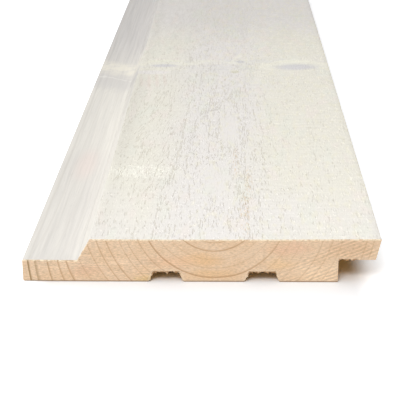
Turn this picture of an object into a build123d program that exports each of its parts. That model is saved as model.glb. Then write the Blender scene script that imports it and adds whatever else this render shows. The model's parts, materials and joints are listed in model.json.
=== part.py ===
from build123d import *
import os
from math import radians, tan

# Double-rebated cladding board: one length of sawn and planed spruce.
# One edge is cut down to a tongue, the other is undercut to leave a lip, and the back has
# two relief grooves. Boards are laid lip over tongue, with the back against the battens.
# Frame: X across the width with the tongue at -X, Y along the length, Z up out of the face.
# The origin is the middle of the back, halfway along. Sizes are millimetres and degrees.

# The stock
board_length = 1800.0
board_width = 148.0
board_thickness = 19.0

# The tongue, flush with the back, and the bevel that climbs from it to the face
tongue_width = 22.9
tongue_thickness = 9.5
bevel_angle = 60.0

# The rebate behind the lip, which closes over the next board's tongue
rebate_width = 17.3
lap_clearance = 0.3
lip_land = 0.5
lip_undercut_angle = 13.0

# The relief grooves, counted from the shoulder of the rebate
groove_count = 2
groove_setback = 31.3
groove_spacing = 39.8
groove_mouth = 14.4
groove_depth = 4.3
groove_draft_angle = 24.0

# The corners that the cutters leave
arris_radius = 0.4
cutter_nose_radius = 0.6

# Places worked out from the sizes
tongue_edge = -board_width / 2
lip_edge = board_width / 2
tongue_root = tongue_edge + tongue_width
shoulder = lip_edge - rebate_width
rebate_height = tongue_thickness + lap_clearance
overcut = board_thickness


def run(rise, angle):
    """How far a side moves sideways over a rise, when it leans by an angle from upright."""
    return rise * tan(radians(angle))


def cutter(points, nose):
    """A closed cutter outline, rounded at the corners that bite into the board."""
    outline = Polygon(*points, align=None)
    corners = [outline.vertices().sort_by_distance(corner)[0] for corner in nose]
    return fillet(corners, cutter_nose_radius)


def tongue_cutter():
    """Takes the face down to the tongue, with a flank at the bevel's angle."""
    root = (tongue_root, tongue_thickness)
    top = board_thickness + overcut
    flank_top = (tongue_root + run(top - tongue_thickness, 90 - bevel_angle), top)
    far = tongue_edge - overcut
    return cutter([root, flank_top, (far, top), (far, tongue_thickness)], [root])


def rebate_cutter():
    """Opens the back behind the lip, square at the shoulder."""
    root = (shoulder, rebate_height)
    far = lip_edge + overcut
    return cutter([root, (shoulder, -overcut), (far, -overcut), (far, rebate_height)], [root])


def undercut_cutter():
    """Leans the end of the lip back, below a short upright land at the face."""
    top = board_thickness - lip_land
    foot = (lip_edge - run(top + overcut, lip_undercut_angle), -overcut)
    far = lip_edge + overcut
    return Polygon((lip_edge, top), foot, (far, -overcut), (far, top), align=None)


def groove_cutter(middle):
    """One relief groove: wide at the back of the board and narrower at its floor."""
    floor_half = groove_mouth / 2 - run(groove_depth, groove_draft_angle)
    below_half = groove_mouth / 2 + run(overcut, groove_draft_angle)
    floor = [(middle - floor_half, groove_depth), (middle + floor_half, groove_depth)]
    below = [(middle + below_half, -overcut), (middle - below_half, -overcut)]
    return cutter(floor + below, floor)


def board_section():
    """The planed section, with its outer arrises eased."""
    section = Rectangle(board_width, board_thickness, align=(Align.CENTER, Align.MIN))
    section -= tongue_cutter()
    section -= rebate_cutter()
    section -= undercut_cutter()
    for number in range(groove_count):
        section -= groove_cutter(shoulder - groove_setback - number * groove_spacing)
    nose_ends = section.edges().filter_by(GeomType.CIRCLE).vertices()
    arrises = section.vertices() - nose_ends
    return fillet(arrises, arris_radius)


cladding_board = extrude(Plane.XZ * board_section(), amount=board_length / 2, both=True)
cladding_board.label = "cladding_board"

os.makedirs("parts", exist_ok=True)
export_step(cladding_board, "parts/cladding_board.step")
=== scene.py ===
import json
from math import cos, radians, sin, tan

import bmesh
import bpy
from mathutils import Matrix, Vector, noise


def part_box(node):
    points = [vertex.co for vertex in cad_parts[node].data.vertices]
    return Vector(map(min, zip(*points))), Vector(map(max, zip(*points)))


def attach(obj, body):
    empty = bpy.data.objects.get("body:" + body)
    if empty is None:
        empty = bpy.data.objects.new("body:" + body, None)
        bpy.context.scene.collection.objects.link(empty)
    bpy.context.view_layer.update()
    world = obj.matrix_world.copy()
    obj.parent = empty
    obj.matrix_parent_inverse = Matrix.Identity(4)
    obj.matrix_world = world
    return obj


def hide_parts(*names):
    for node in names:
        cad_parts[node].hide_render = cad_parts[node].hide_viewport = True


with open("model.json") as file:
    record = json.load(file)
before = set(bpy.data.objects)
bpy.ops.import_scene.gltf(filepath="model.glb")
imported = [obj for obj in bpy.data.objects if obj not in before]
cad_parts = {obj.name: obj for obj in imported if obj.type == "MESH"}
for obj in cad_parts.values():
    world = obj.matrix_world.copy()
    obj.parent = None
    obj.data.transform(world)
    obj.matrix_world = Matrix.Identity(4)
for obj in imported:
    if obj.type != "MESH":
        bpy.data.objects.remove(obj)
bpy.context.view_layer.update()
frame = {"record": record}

# The stock: one length of spruce, sawn on its face and moulded on its other sides.
# A moulder cuts the tongue, the lip and the two relief grooves, and eases the arrises.
# Millimetres until the mesh is done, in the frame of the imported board.
mm = 0.001
low, high = (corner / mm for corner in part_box("cladding_board"))
mounts = {m["name"]: Vector(m["pos_m"]) / mm for m in frame["record"]["mounts"]}
near_end = low.y
length = high.y - low.y
thickness = high.z
arris = 0.4
cutter_nose = 0.6

# The tongue, and the bevel that climbs from it to the face
tongue_width = 22.9
bevel_lean = radians(30)
tongue_top = mounts["tongue_land"].z
tongue_root = low.x + tongue_width
bevel_top = tongue_root + (thickness - tongue_top) * tan(bevel_lean)

# The rebate beyond the shoulder, and the lip over it with its undercut end
lip_land = 0.5
land_ease = 0.05
lip_lean = radians(13)
shoulder = mounts["shoulder"].x
lip_under = mounts["lip_underside"].z
lip_tip = high.x - (thickness - lip_land - lip_under) * tan(lip_lean)

# The relief grooves: where their middles are, and half their width at the mouth and floor
groove_spacing = 39.8
groove_middles = (25.4 - groove_spacing, 25.4)
groove_depth = 4.3
groove_lean = radians(24)
groove_mouth = 7.2
groove_floor = groove_mouth - groove_depth * tan(groove_lean)

# The moulded section, corner by corner from the tongue along the back: the corner's place,
# the ease on it, and how wide the columns of faces are on the way to the next corner
outline = [(low.x, 0, arris, 6.0)]
for middle in groove_middles:
    outline += [
        (middle - groove_mouth, 0, arris, 0.7),
        (middle - groove_floor, groove_depth, cutter_nose, 0.6),
        (middle + groove_floor, groove_depth, cutter_nose, 2.4),
        (middle + groove_mouth, 0, arris, 6.0),
    ]
outline += [
    (shoulder, 0, arris, 2.5),
    (shoulder, lip_under, cutter_nose, 0.8),
    (lip_tip, lip_under, arris, 2.6),
    (high.x, thickness - lip_land, land_ease, 2.6),
    (high.x, thickness, arris, 2.2),
    (bevel_top, thickness, arris, 1.8),
    (tongue_root, tongue_top, cutter_nose, 2.2),
    (low.x, tongue_top, arris, 2.5),
]

stock = bmesh.new()
stock.faces.new([stock.verts.new((x, near_end, z)) for x, z, ease, column in outline])
for x, z, ease, column in outline:
    corner = min(stock.verts, key=lambda v: (v.co - Vector((x, near_end, z))).length)
    bmesh.ops.bevel(stock, geom=[corner], affect="VERTICES", offset=ease, segments=2,
                    profile=0.5, material=-1)
for number, (x, z, ease, column) in enumerate(outline):
    next_x, next_z = outline[(number + 1) % len(outline)][:2]
    middle = Vector(((x + next_x) / 2, near_end, (z + next_z) / 2))
    edge = min(stock.edges, key=lambda e: (e.verts[0].co + e.verts[1].co - 2 * middle).length)
    cuts = round(edge.calc_length() / column) - 1
    if cuts > 0:
        bmesh.ops.subdivide_edges(stock, edges=[edge], cuts=cuts)

stock.faces.ensure_lookup_table()
section = stock.faces[0]

# Which side of the board each column of faces is on, and its place round the section
side_of = []
around = [0.0]
for loop in section.loops:
    start, end = loop.vert.co, loop.link_loop_next.vert.co
    around.append(around[-1] + (end - start).length)
    middle = (start + end) / 2
    if middle.z > thickness - 0.35:
        side_of.append("face")
    elif middle.x > lip_tip - 0.05:
        side_of.append("lip edge")
    elif middle.x < low.x + 0.2 and middle.z > 0.3:
        side_of.append("tongue edge")
    elif middle.x < bevel_top and middle.z > tongue_top - 0.3:
        side_of.append("tongue")
    else:
        side_of.append("back")

# The board is ripped from the log as one long stick: the section is drawn out row by row,
# with finer rows at the near end, and both ends are left as the cross-cut saw leaves them.
columns = {(round(l.vert.co.x, 3), round(l.vert.co.z, 3)): n for n, l in enumerate(section.loops)}
row_steps = [1.2] * 20 + [2.4] * 140 + [4.8] * 300
rows = [sum(row_steps[:n]) for n in range(len(row_steps) + 1)]
ring = list(section.edges)
drawn = bmesh.ops.extrude_edge_only(stock, edges=ring)["geom"]
ring = [e for e in drawn if isinstance(e, bmesh.types.BMEdge) and e.is_boundary]
bmesh.ops.translate(stock, vec=(0, length, 0), verts=list({v for e in ring for v in e.verts}))
along_board = [e for e in stock.edges if abs(e.verts[0].co.y - e.verts[1].co.y) > 1]
bmesh.ops.contextual_create(stock, geom=ring)
bmesh.ops.subdivide_edges(stock, edges=along_board, cuts=len(row_steps) - 1, use_grid_fill=True)
for v in stock.verts:
    v.co.y = near_end + rows[round((v.co.y - near_end) / length * len(row_steps))]
bmesh.ops.recalc_face_normals(stock, faces=stock.faces)
stock.faces.ensure_lookup_table()

# The sides take one of four finishes each, in this order: sawn face, planed and primed
# edges, bare back, cut ends. Every side is unrolled into strips of its own on the finish
# map, with two lengths of the face and the tongue, and the two ends beside each other.
# The strips on each side, the pixels to a millimetre, and the row they start on.
finish_of = {"face": 0, "tongue": 1, "tongue edge": 1, "lip edge": 1, "back": 2}
cut_end_finish = 3
strips = {
    "face": (2, 2.40, 4), "tongue": (2, 2.30, 586), "back": (1, 0.60, 756),
    "lip edge": (1, 1.2, 872), "tongue edge": (1, 1.2, 890),
}
end_scale = 3.30
end_row = 908
map_size = 1024
margin = 4
first = {side: around[side_of.index(side)] for side in side_of}
last = {side: around[len(side_of) - side_of[::-1].index(side)] for side in side_of}
unrolled = stock.loops.layers.uv.new("OFBake")
for f in stock.faces:
    middle = f.calc_center_median()
    if len(f.verts) > 4:
        f.material_index = cut_end_finish
        first_pixel = margin if middle.y < 0 else map_size / 2 - margin
        for loop in f.loops:
            across = (loop.vert.co.x - low.x) * end_scale + first_pixel
            up = end_row + loop.vert.co.z * end_scale
            loop[unrolled].uv = (across / map_size, up / map_size)
        continue
    f.smooth = True
    # A face lies between two columns that follow each other, or between the last and first
    numbers = [columns[round(l.vert.co.x, 3), round(l.vert.co.z, 3)] for l in f.loops]
    number = min(numbers)
    if max(numbers) - number > 1:
        number = max(numbers)
    side = side_of[number]
    f.material_index = finish_of[side]
    count, scale, row = strips[side]
    strip = int((middle.y - near_end) / length * count)
    height = (last[side] - first[side]) * scale
    for loop, column in zip(f.loops, numbers):
        if column == 0 and number:
            column = len(side_of)
        along = (loop.vert.co.y - near_end) * count / length - strip
        along = margin + (map_size - 2 * margin) * along
        across = row + strip * (height + margin) + (around[column] - first[side]) * scale
        loop[unrolled].uv = (along / map_size, across / map_size)

# The knots of one whorl: where each meets the surface, its half width and half length
knots = [(53.5, 284.0, 15.5, 9.0), (-30.5, 289.0, 10.0, 4.6), (18.0, 298.5, 3.4, 4.4)]

# The board has cupped a little, so that both its edges stand above its middle. The band saw
# leaves faint ribs across the face, and the knots stand proud. The cross cut tears the
# fibres in the recesses: they hang ragged over the grooves and behind the lip, and lean in
# from each groove's left slope.
cup_middle = -10
left_cup = 0.36
right_cup = 0.48
rib_height = 0.035
fuzz_height = 0.03
sawn_off = 0.07
knot_height = 0.1
torn_depth = 1.25
torn_length = 14
for v in stock.verts:
    x, z = v.co.x, v.co.z
    along = v.co.y - near_end
    side = side_of[columns[round(x, 3), round(z, 3)]]
    left = max(0, cup_middle - x) / (cup_middle - low.x)
    right = max(0, x - cup_middle) / (high.x - cup_middle)
    v.co.z += left_cup * left ** 2 + right_cup * (0.25 + 0.75 * z / thickness) * right ** 2
    if side == "face" or z > thickness - 0.5:
        ribs = noise.noise((x / 45, along / 4.5, 0))
        fuzz = noise.noise((x / 3, along / 3, 7))
        v.co.z += rib_height * ribs + fuzz_height * fuzz - sawn_off
        for knot_x, knot_along, half_width, half_length in knots:
            across, down = (x - knot_x) / half_width, (along - knot_along) / half_length
            v.co.z += knot_height * max(0, 1 - across * across - down * down)
    end_gap = min(along, length - along)
    if side != "back" or end_gap >= torn_length:
        continue
    torn_share = 1 - end_gap / torn_length
    if (z > 2.5 and x < shoulder - 1) or z > lip_under - 0.3:
        torn = noise.noise((x / 0.8, along / 5, 3)) + 0.5 * noise.noise((x / 2.2, along / 7, 9))
        torn *= min(1, max(0, (shoulder + 11 - x) / 4))
        v.co.z -= torn_depth * torn * torn_share
    for middle in groove_middles:
        on_left_slope = -groove_mouth < x - middle < 0.2 - groove_floor
        if on_left_slope and 0.05 < z < groove_depth - 0.1:
            torn = 0.9 * (z / groove_depth - 0.33) + noise.noise((z / 0.7, along / 5, x))
            v.co.x += torn * torn_share


def laid_out(shape, name):
    """A piece of the scene from its finished shape."""
    mesh = bpy.data.meshes.new(name)
    shape.to_mesh(mesh)
    shape.free()
    piece = bpy.data.objects.new(name, mesh)
    bpy.context.scene.collection.objects.link(piece)
    return piece


bmesh.ops.scale(stock, vec=(mm, mm, mm), verts=stock.verts)
board = laid_out(stock, "board")
board.data.set_sharp_from_angle(angle=radians(25))
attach(board, "root")
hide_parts("cladding_board")


class Grain:
    """A number, place or colour on its way through a finish. Sums on it add their nodes."""

    def __init__(self, socket):
        self.socket = socket

    def node(self, kind, settings=None, inputs=None, output=0):
        """Another node of the same finish: its settings first, then its sockets."""
        tree = self.socket.id_data
        made = tree.nodes.new("ShaderNode" + kind)
        for name, value in (settings or {}).items():
            setattr(made, name, value)
        for name, value in (inputs or {}).items():
            if isinstance(value, Grain):
                tree.links.new(value.socket, made.inputs[name])
            else:
                made.inputs[name].default_value = value
        return Grain(made.outputs[output])

    def math(self, operation, first, second=0.0):
        return self.node("Math", {"operation": operation}, {0: first, 1: second})

    def __add__(self, other):
        return self.math("ADD", self, other)

    __radd__ = __add__

    def __mul__(self, other):
        return self.math("MULTIPLY", self, other)

    __rmul__ = __mul__

    def __sub__(self, other):
        return self.math("SUBTRACT", self, other)

    def __rsub__(self, other):
        return self.math("SUBTRACT", other, self)

    def __truediv__(self, other):
        return self.math("DIVIDE", self, other)

    def __abs__(self):
        return self.math("ABSOLUTE", self)

    def root(self):
        return self.math("SQRT", self)

    def sine(self):
        return self.math("SINE", self)

    def least(self, other):
        return self.math("MINIMUM", self, other)

    def most(self, other):
        return self.math("MAXIMUM", self, other)

    def step(self, start, end):
        """From 0 at start to 1 at end, eased, in either direction."""
        low_end, high_end = min(start, end), max(start, end)
        ends = (0.0, 1.0) if start < end else (1.0, 0.0)
        return self.node("MapRange", {"interpolation_type": "SMOOTHSTEP"},
                         {0: self, 1: low_end, 2: high_end, 3: ends[0], 4: ends[1]})

    def between(self, start, end, ease):
        """1 from start to end, easing off over a distance outside them."""
        return self.step(start - ease, start) * self.step(end + ease, end)

    def blend(self, none, full):
        """One colour where this number is 0, and another where it is 1."""
        return self.node("Mix", {"data_type": "RGBA"}, {0: self, 6: none, 7: full}, 2)

    def mix(self, amount, other):
        """This colour turned towards another by an amount."""
        return amount.blend(self, other)

    def toned(self, tone):
        """This colour, lighter or darker."""
        return self.node("VectorMath", {"operation": "SCALE"}, {0: self, 3: tone})

    def shrunk(self, size):
        """This place in units of a size along each axis."""
        return self.node("VectorMath", {"operation": "DIVIDE"}, {0: self, 1: size})

    def cloud(self, size, detail, rough, shift, output):
        """Cloudy figure, about one patch to each size in millimetres."""
        moved = self.node("VectorMath", {"operation": "ADD"}, {0: self, 1: (0, shift, shift)})
        return moved.node("TexNoise", {}, {"Vector": moved.shrunk(size), "Scale": 1.0,
                                           "Detail": detail, "Roughness": rough}, output)

    def mottle(self, size, detail=1.0, rough=0.5, shift=0.0):
        """The cloudy figure as a number that swings about 0."""
        return self.cloud(size, detail, rough, shift, 0) - 0.5

    def strayed(self, size, reach, shift=0.0):
        """This place pushed about by a cloudy figure, so that what is drawn on it wanders."""
        push = self.cloud(size, 1.0, 0.5, shift, 1)
        push = push.node("VectorMath", {"operation": "SUBTRACT"}, {0: push, 1: (0.5, 0.5, 0.5)})
        return self.node("VectorMath", {"operation": "MULTIPLY_ADD"}, {0: push, 1: reach, 2: self})

    def away(self, centre, size):
        """The distance from a centre, in units of a size along each axis."""
        moved = self.node("VectorMath", {"operation": "SUBTRACT"}, {0: self, 1: centre})
        moved = moved.shrunk(size)
        return moved.node("VectorMath", {"operation": "LENGTH"}, {0: moved}, 1)


def finish_on(piece, name):
    """A new finish for a piece: its closing shader, and the place on the piece in mm."""
    material = bpy.data.materials.new(name)
    material.use_nodes = True
    tree = material.node_tree
    shader = tree.nodes["Principled BSDF"]
    piece.data.materials.append(material)
    inside = Grain(tree.nodes.new("ShaderNodeTexCoord").outputs["Object"])
    place = inside.node("VectorMath", {"operation": "SCALE"}, {0: inside, 3: 1 / mm})
    return shader, place


def apart(place):
    """The three numbers of a place: across, along from the near end, and up."""
    split = place.node("SeparateXYZ", {}, {0: place}).socket.node
    x, y, z = (Grain(split.outputs[n]) for n in range(3))
    return x, y - near_end, z


def put(shader, **values):
    """Sets the closing shader's sockets to numbers or links them."""
    for name, value in values.items():
        target = shader.inputs[name.replace("_", " ")]
        if isinstance(value, Grain):
            target.id_data.links.new(value.socket, target)
        else:
            target.default_value = value


# The growth rings: spruce grown round a pith that lay just above this board, and climbed
# away from its face along the length. Each ring ends in a thin dark line of late wood.
# The rings' distance from the pith, how wide each dark line is and how strong.
rings = [
    (14.6, 0.7, 0.45), (18.4, 0.8, 0.8), (22.2, 0.6, 0.3), (26.0, 0.6, 0.35), (30.2, 0.9, 0.85),
    (34.2, 0.6, 0.5), (38.5, 0.5, 0.45), (41.5, 0.5, 0.4), (46.7, 0.7, 0.65), (50.5, 0.7, 0.6),
    (54.3, 0.6, 0.5), (59.4, 0.6, 0.3), (64.1, 0.8, 0.75), (67.0, 0.7, 0.7), (70.8, 0.7, 0.75),
    (75.6, 1.4, 0.45), (78.4, 0.9, 1.0), (82.6, 0.9, 0.9), (86.1, 1.5, 0.5), (90.2, 1.1, 1.0),
]
pith_x = 5.6
pith_z = 32
tongue_knot = (-61.0, 298.0, 8.0, 14.0)
swell_reach = 3.2


def knot_swell(x, along):
    """1 at the heart of each knot, falling to 0 at swell_reach times its size."""
    swell = 0.0
    for knot_x, knot_along, half_width, half_length in knots + [tongue_knot]:
        across = (x - knot_x) / half_width
        down = (along - knot_along) / half_length
        square = across * across + down * down
        swell = square.step(swell_reach * swell_reach, 0.0) + swell
    return swell


def from_pith(place, wander):
    """The distance from the pith in mm. It wanders, and bulges round the knots."""
    x, along, z = apart(place)
    across = x - pith_x - 6.2 * along / (along + 30)
    down = z - pith_z - 11 * (along * 0.0038).sine()
    down = down * (1 - 0.45 * across.step(-45, -80))
    wobble = place.mottle((16, 240, 16))
    square = across * across + down * down
    return square.root() + wobble * wander + 5 * knot_swell(x, along)


def late_wood(radius):
    """The dark lines where the rings end."""
    line = 0.0
    for ring, width, strength in rings:
        ring_end = radius.step(ring - width, ring).least(radius.step(ring + 0.22, ring))
        line = ring_end * strength + line
    return line.least(1.0)


# Marks are laid on the board as ovals, deep enough that its relief doesn't fade them
oval_depth = 40


def patch(place, x, along, half_width, half_length, z=thickness, ease=0.5):
    """1 inside an oval that is laid on the surface, easing off to 0 at its edge."""
    oval = place.away((x, near_end + along, z), (half_width, half_length, oval_depth))
    return oval.step(1.0, ease)


# The sawn face: a fine band-sawn surface under one thin coat of white primer. The primer
# lies thin on the torn ends of the fibres, which show as short dark strokes along the grain.
# The fibres lean across the board as they run from the near end, and loose ones stray.
shader, place = finish_on(board, "sawn_primed_face")
x, along, z = apart(place)
radius = from_pith(place, 2.4)
line = late_wood(radius)
lean = (-19.5 + 26 * x.step(-30, 30)) * along.step(30, 270)
fibres = place.node("CombineXYZ", {}, {0: x + lean, 1: along + near_end, 2: z})
loose = fibres.strayed((14, 40, 14), (1.6, 0, 0))
figure = place.node("CombineXYZ", {}, {0: radius, 1: along}).mottle((2.6, 90, 1), 1.0, shift=9.0)

# The primer turns ivory over the sapwood, with faint pink, green and yellow clouds
sapwood = abs(x - 6).step(8, 34) * (0.5 + 0.5 * along.step(20, 110)) * along.step(440, 330)
ivory = (sapwood + 1.3 * place.mottle((17, 45, 17), shift=3.0)).least(1.0).most(0.0)
primer = ivory.blend((0.835, 0.803, 0.768, 1), (0.835, 0.806, 0.715, 1))
pink = place.mottle((8, 26, 8), 1.0, shift=31.0).step(0.06, 0.2)
primer = primer.mix(pink * 0.5, (0.86, 0.79, 0.73, 1))
green = place.mottle((9, 30, 9), 1.0, shift=57.0).step(0.06, 0.2)
primer = primer.mix(green * 0.5, (0.81, 0.812, 0.725, 1))
yellow = place.mottle((3.0, 10, 3.0), 1.0, 0.5, 77.0).step(0.02, 0.18) * x.step(-22, 0)
primer = primer.mix(yellow * 0.42, (0.85, 0.815, 0.665, 1))

# A feathered cream streak where the cutter lifted the fibres, and resin-stained specks
frayed = place.strayed((2.2, 9, 9), (0.5, 9, 0), 4.0)
lifted = patch(frayed, -31, 85, 25, 12, thickness, 0.35)
feathers = frayed.mottle((0.8, 3.0, 0.8), 2.0, 0.6, 27.0).step(-0.15, 0.1)
primer = primer.mix(lifted * feathers * 0.75, (0.92, 0.905, 0.81, 1))
resin = patch(loose, 15, 98, 2.2, 22) + patch(loose, 18.5, 30, 2.6, 34)
resin = resin + 0.6 * patch(loose, 21, 68, 2.6, 30)
resin = resin * loose.mottle((0.7, 3.5, 0.7), 1.0, shift=41.0).step(0.0, 0.12)
primer = primer.mix(resin * 0.5, (0.69, 0.51, 0.31, 1))

# The grain swirls cream and grey round the whorl of knots. Each knot's dark end grain shows
# lavender through the primer, with a cream rim behind it and a cream ring farther out.
whorl = place.strayed((11, 11, 11), (0, 9, 0), 83.0)
primer = primer.mix(patch(whorl, 5, 298, 90, 8, thickness, 0.2) * 0.5, (0.88, 0.86, 0.77, 1))
swirl = whorl.mottle((17, 7.0, 17), 2.0, 0.6, 21.0)
around_knots = patch(whorl, 5, 290, 92, 26, thickness, 0.3)
primer = primer.mix(swirl.step(0.0, 0.16) * around_knots * 0.6, (0.905, 0.88, 0.78, 1))
primer = primer.mix(swirl.step(0.0, -0.16) * around_knots * 0.5, (0.77, 0.755, 0.745, 1))
for knot_x, knot_along, half_width, half_length in knots:
    heart = (knot_x, near_end + knot_along, thickness)
    lens = place.strayed((7, 7, 7), (2.5, 2.5, 0), knot_x)
    lens = lens.away(heart, (half_width, half_length, oval_depth))
    rim = lens.step(1.9, 1.15) * along.step(knot_along - 4, knot_along + 5)
    primer = primer.mix(rim * 0.7, (0.86, 0.84, 0.745, 1))
    halo = place.strayed((8, 8, 8), (4, 3, 0), knot_x + 40)
    halo = halo.away(heart, (half_width * 1.35, 15, oval_depth))
    halo = abs(halo - 1).step(0.2, 0.05) * along.step(knot_along - 6, knot_along + 4)
    primer = primer.mix(halo * 0.6, (0.89, 0.86, 0.75, 1))
    primer = primer.mix(lens.step(1.15, 0.4) * 0.9, (0.70, 0.685, 0.69, 1))

# Paler and darker marks beside the knots, and fine creases before the one on the left
marks = [
    (-37, 272, 13, 6.0, (0.88, 0.84, 0.83, 1)), (-31, 301, 15, 3.5, (0.87, 0.86, 0.72, 1)),
    (52, 299, 16, 3.5, (0.90, 0.88, 0.76, 1)), (15, 273, 3.0, 4.0, (0.70, 0.67, 0.50, 1)),
]
for mark_x, mark_along, half_width, half_length, tone in marks:
    mark = place.strayed((9, 9, 9), (3, 4, 0), mark_x)
    primer = primer.mix(patch(mark, mark_x, mark_along, half_width, half_length) * 0.6, tone)
creases = x * 1.3 + along * 0.1 + 2.5 * place.mottle((8, 18, 8), shift=13.0)
creases = creases.sine().step(-0.4, 1.0) * patch(loose, -54, 252, 14, 20)
primer = primer.mix(creases * 0.5, (0.81, 0.71, 0.64, 1))

# The strokes gather on the ring lines, in one chain across them and in long strings, and
# thin out inside the arches that the rings draw
rise = (along - 30) / 150
chain = abs(x + 16.3 - 15 * rise * rise * rise).step(5.5, 1) * along.between(75, 215, 25)
legs = abs(x - 20.6 + 0.02 * along).step(4, 0.5) * along.between(0, 190, 20)
strings = loose.mottle((1.3, 42, 1.3), 1.0, 0.5, 51.0) * along.step(330, 200)
gathered = 0.07 * line + 0.2 * figure + 0.07 * chain + 0.06 * legs + 0.38 * strings
still = patch(loose, 12, 152, 8, 40) + patch(loose, 5, 74, 9, 30)
calm = (0.6 + 0.4 * along.step(480, 300)) * (1 - 0.2 * abs(x - 8).step(15, 40))
calm = calm * (1 - 0.7 * still)
strokes = loose.mottle((0.62, 5.2, 0.62), 1.0, 0.5) + gathered - 0.045 * x.step(22, 34)
strokes = strokes.step(0.1, 0.2)
primer = primer.mix(strokes * calm * 0.27, (0.50, 0.44, 0.31, 1))

# Between the strokes: fuzz, the band saw's ribs, fine and broad mottling, and wrinkles
fuzz = (loose.mottle((0.8, 3.4, 0.8), 1.0, 0.6, 5.0) + 0.1 * lifted).step(0.07, 0.2)
ribs = place.mottle((11, 2.3, 11), 1.0, 0.5, 2.0)
fine = loose.mottle((0.7, 2.6, 0.7), 1.0, 0.5, 11.0)
broad = loose.mottle((2.6, 13.0, 2.6), 1.0, 0.6, 61.0) * along.step(120, 380)
wrinkles = along * 1.3 + 5 * place.mottle((9, 9, 9), shift=19.0)
wrinkles = wrinkles.sine() * patch(loose, -36, 200, 12, 17)
lip_half = x.step(20, 34)
grain = (0.13 + 0.06 * lip_half) * fine + (0.07 + 0.09 * lip_half) * ribs + 0.15 * fuzz
primer = primer.toned(1 + calm * (grain + 0.02 * wrinkles) + 0.15 * broad)
edge = x.step(-34, -44) * (0.04 + 0.05 * along.between(120, 250, 40))
primer = primer.toned(0.972 - edge - 0.09 * along.step(310, 450))
relief = (0.8 * fuzz + 0.4 * fine + 0.4 * ribs - strokes) * calm
bump = place.node("Bump", {}, {"Strength": 0.6, "Distance": 0.0003, "Height": relief})
put(shader, Base_Color=primer, Roughness=0.75, Normal=bump)

# The tongue, the bevel and the long edges: planed by the moulder and primed like the face.
# The primer is smooth there, with long streaks where the grain takes it up.
shader, place = finish_on(board, "planed_primed_tongue")
x, along, z = apart(place)
line = late_wood(from_pith(place, 1.4))
streaks = place.strayed((6, 45, 6), (1.6, 0, 0), 9.0).mottle((0.95, 70, 0.95), 2.0, 0.6)
drawn_out = place.strayed((6, 60, 6), (2.5, 0, 0))
bands = drawn_out.mottle((4, 150, 4), 1.0, 0.5, 4.0)
pale = 0.14 + 1.6 * bands + 0.72 * along.between(160, 250, 40)
pale = pale.least(1.0).most(0.0)
primer = pale.blend((0.705, 0.678, 0.637, 1), (0.775, 0.748, 0.692, 1))
primer = primer.mix(along.step(290, 420) * 0.85, (0.62, 0.598, 0.582, 1))
# The bevel is painted paler: partly its cream primer, partly painted light on the slope that faces
# the light from the left
bevel_cream_and_light = z.step(tongue_top + 0.2, tongue_top + 1.5)
pale = along.step(250, 140) + along.between(300, 335, 25) * 0.8 + along.step(340, 400) * 0.35
primer = primer.mix(bevel_cream_and_light * pale, (0.865, 0.832, 0.77, 1))
blush = drawn_out.away((-61, near_end + 122, tongue_top), (9, 34, 9)).step(1.0, 0.2)
primer = primer.mix(blush * 0.7, (0.785, 0.69, 0.64, 1))
dashes = drawn_out.mottle((0.45, 9, 0.45), 2.0, 0.6, 33.0).step(0.06, 0.2)
primer = primer.toned(1 + (0.28 + 0.1 * along.step(300, 350)) * streaks - 0.06 * dashes)
primer = primer.mix(line * 0.2, (0.60, 0.56, 0.49, 1))
edge_streak = abs(x + 71.3 + 1.5 * bands).step(0.9, 0)
primer = primer.mix(edge_streak * 0.3, (0.55, 0.52, 0.46, 1))

# The whorl's knot on the tongue: cream behind a thin pale line that slants away from the
# edge, and grey where the grain dips on either side of it
cloudy = place.mottle((6, 9, 6), 2.0, 0.6, 71.0)
behind = along + 0.6 * (x + 70) - 296 + 9 * cloudy
cream = behind.between(14, 34, 14) * (0.5 + 2 * cloudy).least(0.75).most(0.0)
primer = primer.mix(cream, (0.86, 0.82, 0.715, 1))
primer = primer.mix(behind.between(-14, 4, 20) * 0.42, (0.62, 0.60, 0.585, 1))
thread = abs(behind - 9 * place.mottle((5, 12, 5), shift=7.0)).step(2.6, 0.3)
thread = thread * place.mottle((4, 4, 4), shift=15.0).step(-0.2, 0.15)
thread = thread.most(patch(place, -69.5, 297, 3, 4, tongue_top, 0.2))
primer = primer.mix(thread * 0.4, (0.93, 0.91, 0.86, 1))
bump = place.node("Bump", {}, {"Strength": 0.35, "Distance": 0.0001, "Height": streaks})
put(shader, Base_Color=primer, Roughness=0.6, Normal=bump)

# The back, the grooves and the rebate: bare planed spruce. The recesses are painted a warmer
# brown, a little along the whole length and strongly near the two ends: painted shade for the
# brown shadow that light bounced off the wood casts in them.
shader, place = finish_on(board, "planed_bare_back")
x, along, z = apart(place)
line = late_wood(from_pith(place, 1.4))
streaks = place.mottle((0.9, 120, 0.9), 2.0, 0.6)
wood = (streaks.step(-0.2, 0.25) * 0.5).blend((0.70, 0.50, 0.30, 1), (0.62, 0.42, 0.23, 1))
end_gap = along.least(length - along)
recess_painted_shade = 0.2 + 0.8 * end_gap.step(80, 35)
# Painted shade: the grooves and the rebate turned brown, most of all near the ends
wood = wood.mix(z.step(0.3, 4.5) * recess_painted_shade * 0.8, (0.82, 0.46, 0.18, 1))
wood = wood.mix(z.step(4.5, 9.5) * recess_painted_shade * 0.6, (0.66, 0.34, 0.11, 1))
wood = wood.mix(z.step(0.3, 1.5) * end_gap.step(50, 20) * 0.7, (0.80, 0.46, 0.09, 1))
wood = wood.mix(line * 0.6, (0.46, 0.26, 0.12, 1))
put(shader, Base_Color=wood, Roughness=0.65)

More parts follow.
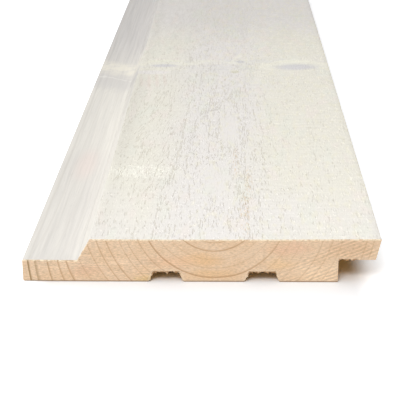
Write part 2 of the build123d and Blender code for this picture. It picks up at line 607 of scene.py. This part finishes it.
# The ends: cut across by a circular saw and left bare, so every growth ring shows. The
# near one is browner, pinker and paler by turns: the middle of each tint, half its width
# and height, and its colour.
shader, place = finish_on(board, "cross_cut_end")
x, along, z = apart(place)
line = late_wood(from_pith(place, 0.5))
blotch = place.mottle((9, 9, 5), 2.0, 0.55).step(-0.2, 0.2)
wood = (blotch * 0.6).blend((0.712, 0.526, 0.36, 1), (0.675, 0.465, 0.285, 1))
tints = [
    (0, 10, 10, 4, (0.72, 0.44, 0.20, 1)), (-12, 9, 11, 3.5, (0.73, 0.46, 0.28, 1)),
    (-23, 1.5, 5, 2.5, (0.62, 0.43, 0.16, 1)), (36, 15, 12, 3.5, (0.72, 0.45, 0.30, 1)),
    (48, 4, 12, 6, (0.83, 0.63, 0.43, 1)), (60, 15, 12, 5, (0.60, 0.385, 0.225, 1)),
    (4, 3, 13, 3, (0.69, 0.43, 0.20, 1)), (33, 8, 7, 3, (0.76, 0.51, 0.27, 1)),
    (-47, 5, 8, 3.5, (0.66, 0.42, 0.27, 1)),
]
for tint_x, tint_z, wide, tall, tint in tints:
    stray = place.strayed((7, 7, 5), (7, 0, 4), tint_x)
    stray = stray.away((tint_x, near_end, tint_z), (wide, oval_depth, tall))
    wood = wood.mix(stray.step(1.2, 0.2) * 0.5, tint)

# The blade leaves fine level scratches, and slanting ones where it left the cut at the lip
level = place.mottle((14, 14, 0.4), 1.0, 0.5, 17.0) * x.step(0, -16)
level = level * (z + 0.12 * x).between(0.5, 6.5, 3)
slant = radians(23)
rising = z * cos(slant) - x * sin(slant) + 1.1 * place.mottle((7, 7, 4), shift=23.0)
rising = (rising * 4.3).sine() * (x - 1.7 * z).step(19, 31)
rising = rising * place.mottle((10, 10, 5), shift=29.0).step(-0.2, 0.1)
rising = rising * (0.9 + 2 * place.mottle((4, 4, 1.5), shift=47.0))
specks = place.mottle((1.5, 1.5, 0.4), 3.0, 0.75)
wood = wood.toned(1 + (1.2 + 0.2 * x.step(0, -20)) * specks + 0.7 * level + 0.14 * rising)
wood = wood.mix(line * (0.85 - 0.4 * x.step(10, 40)), (0.41, 0.22, 0.10, 1))
wood = wood.mix(line * x.step(-60, -68) * 0.6, (0.22, 0.16, 0.06, 1))

# Frayed fibres: cream along the face's arris and round the grooves. Over the grooves, under the
# lip and along the bottom they are painted dark: painted shade in their depth, and a painted
# contact shadow along the bottom.
ragged = place.mottle((1.1, 1.1, 1.1), 2.0, 0.6, 37.0)
frayed_cream = (0.96, 0.85, 0.64, 1)
left = ((cup_middle - x) / (cup_middle - low.x)).most(0.0)
right = ((x - cup_middle) / (high.x - cup_middle)).most(0.0)
top = place.node("MapRange", {},
                 {0: x, 1: tongue_root, 2: bevel_top, 3: tongue_top, 4: thickness})
depth = top + left_cup * left * left + right_cup * right * right - z
rim = depth.step(0.9, 0.4) * ragged.step(-0.15, 0.1)
wood = wood.mix(rim * 0.8, frayed_cream)
# Painted shade: the torn fibres over the grooves and behind the lip turned dark brown, where the
# tears hold shadow
torn_fibre_shade = (x - shoulder).between(0.3, 8, 0.5) * (z - lip_under - 0.1).step(0.9, 0.2)
for middle in groove_middles:
    beside = (abs(x - middle) - groove_mouth + tan(groove_lean) * z) * cos(groove_lean)
    outside = beside.most(z - groove_depth - 0.1)
    torn_fibre_shade = torn_fibre_shade.most(outside.step(0.8, 0.1) * z.step(2.5, 4))
    rim = outside.step(0.0, 0.4) * outside.step(1.2, 0.6) * ragged.step(-0.2, 0.2)
    wood = wood.mix(rim * 0.3, frayed_cream)
wood = wood.mix(torn_fibre_shade * ragged.step(-0.2, 0.0) * 0.9, (0.25, 0.12, 0.035, 1))
# A dark line along the bottom edge: painted contact shadow where the board meets the floor
wood = wood.mix(z.step(0.75, 0.3) * 0.9, (0.28, 0.19, 0.12, 1))
put(shader, Base_Color=wood, Roughness=0.8)

# The studio: a sheet of white paper that runs out of sight under the board. Beyond its ends, and
# beside it from 12 mm in under its long edges, it glows a little, where only the camera sees it:
# painted light, which also lightens the outer part of the shadow under the lip.
sheet = bmesh.new()
bmesh.ops.create_grid(sheet, x_segments=1, y_segments=1, size=30)
floor = laid_out(sheet, "floor")
shader, place = finish_on(floor, "white_paper")
x, along, z = apart(place)
middle = length / 2
beside = (abs(x) - high.x).step(-12, 0)
beyond = (abs(along - middle) - middle).step(6, 60)
seen = place.node("LightPath")
glow = (seen * beside.most(beyond)).blend((0, 0, 0, 1), (1, 1, 1, 1))
put(shader, Base_Color=(0.84, 0.855, 0.875, 1), Roughness=0.9,
    Emission_Color=glow, Emission_Strength=0.45)

# The room is white to the camera, and lights the board softly from over its head
world = bpy.data.worlds.new("white_room")
bpy.context.scene.world = world
world.use_nodes = True
sky = world.node_tree.nodes["Background"]
heading = Grain(world.node_tree.nodes.new("ShaderNodeTexCoord").outputs["Generated"])
overhead = heading.node("VectorMath", {"operation": "DOT_PRODUCT"},
                        {0: heading, 1: (-0.35, -0.15, 0.925)}, 1)
seen = heading.node("LightPath")
put(sky, Color=(1, 1, 1, 1), Strength=seen.most(1.4 * overhead.step(0.2, 0.95)))

# One soft box hangs in front of the near end and lights the cut
lamp = bpy.data.lights.new("near_lamp", "AREA")
lamp.shape = "RECTANGLE"
lamp.size = 0.4
lamp.size_y = 0.3
lamp.energy = 4.5
holder = bpy.data.objects.new("near_lamp", lamp)
holder.visible_camera = False
holder.location = (-0.15, -1.55, 0.75)
lit_spot = Vector((0.0, -0.88, 0.0))
holder.rotation_mode = "QUATERNION"
holder.rotation_quaternion = (lit_spot - holder.location).to_track_quat("-Z", "Y")
bpy.context.scene.collection.objects.link(holder)

# The camera: a long lens close over the near end, as the photograph is taken
camera_data = bpy.data.cameras.new("camera")
camera_data.lens = 107.3
camera = bpy.data.objects.new("camera", camera_data)
pitch = radians(20.6)
yaw = radians(-1.62)
roll = radians(-0.48)
ahead = Vector((sin(yaw) * cos(pitch), cos(yaw) * cos(pitch), -sin(pitch)))
right = Vector((cos(yaw), -sin(yaw), 0))
up = right.cross(ahead)
right, up = cos(roll) * right + sin(roll) * up, cos(roll) * up - sin(roll) * right
turned = Matrix((right, up, -ahead)).transposed().to_4x4()
eye = Vector((0.0127, near_end * mm - 0.4511, 0.2059))
camera.matrix_world = Matrix.Translation(eye) @ turned
bpy.context.scene.collection.objects.link(camera)
bpy.context.scene.camera = camera
bpy.context.scene.view_settings.view_transform = "Standard"
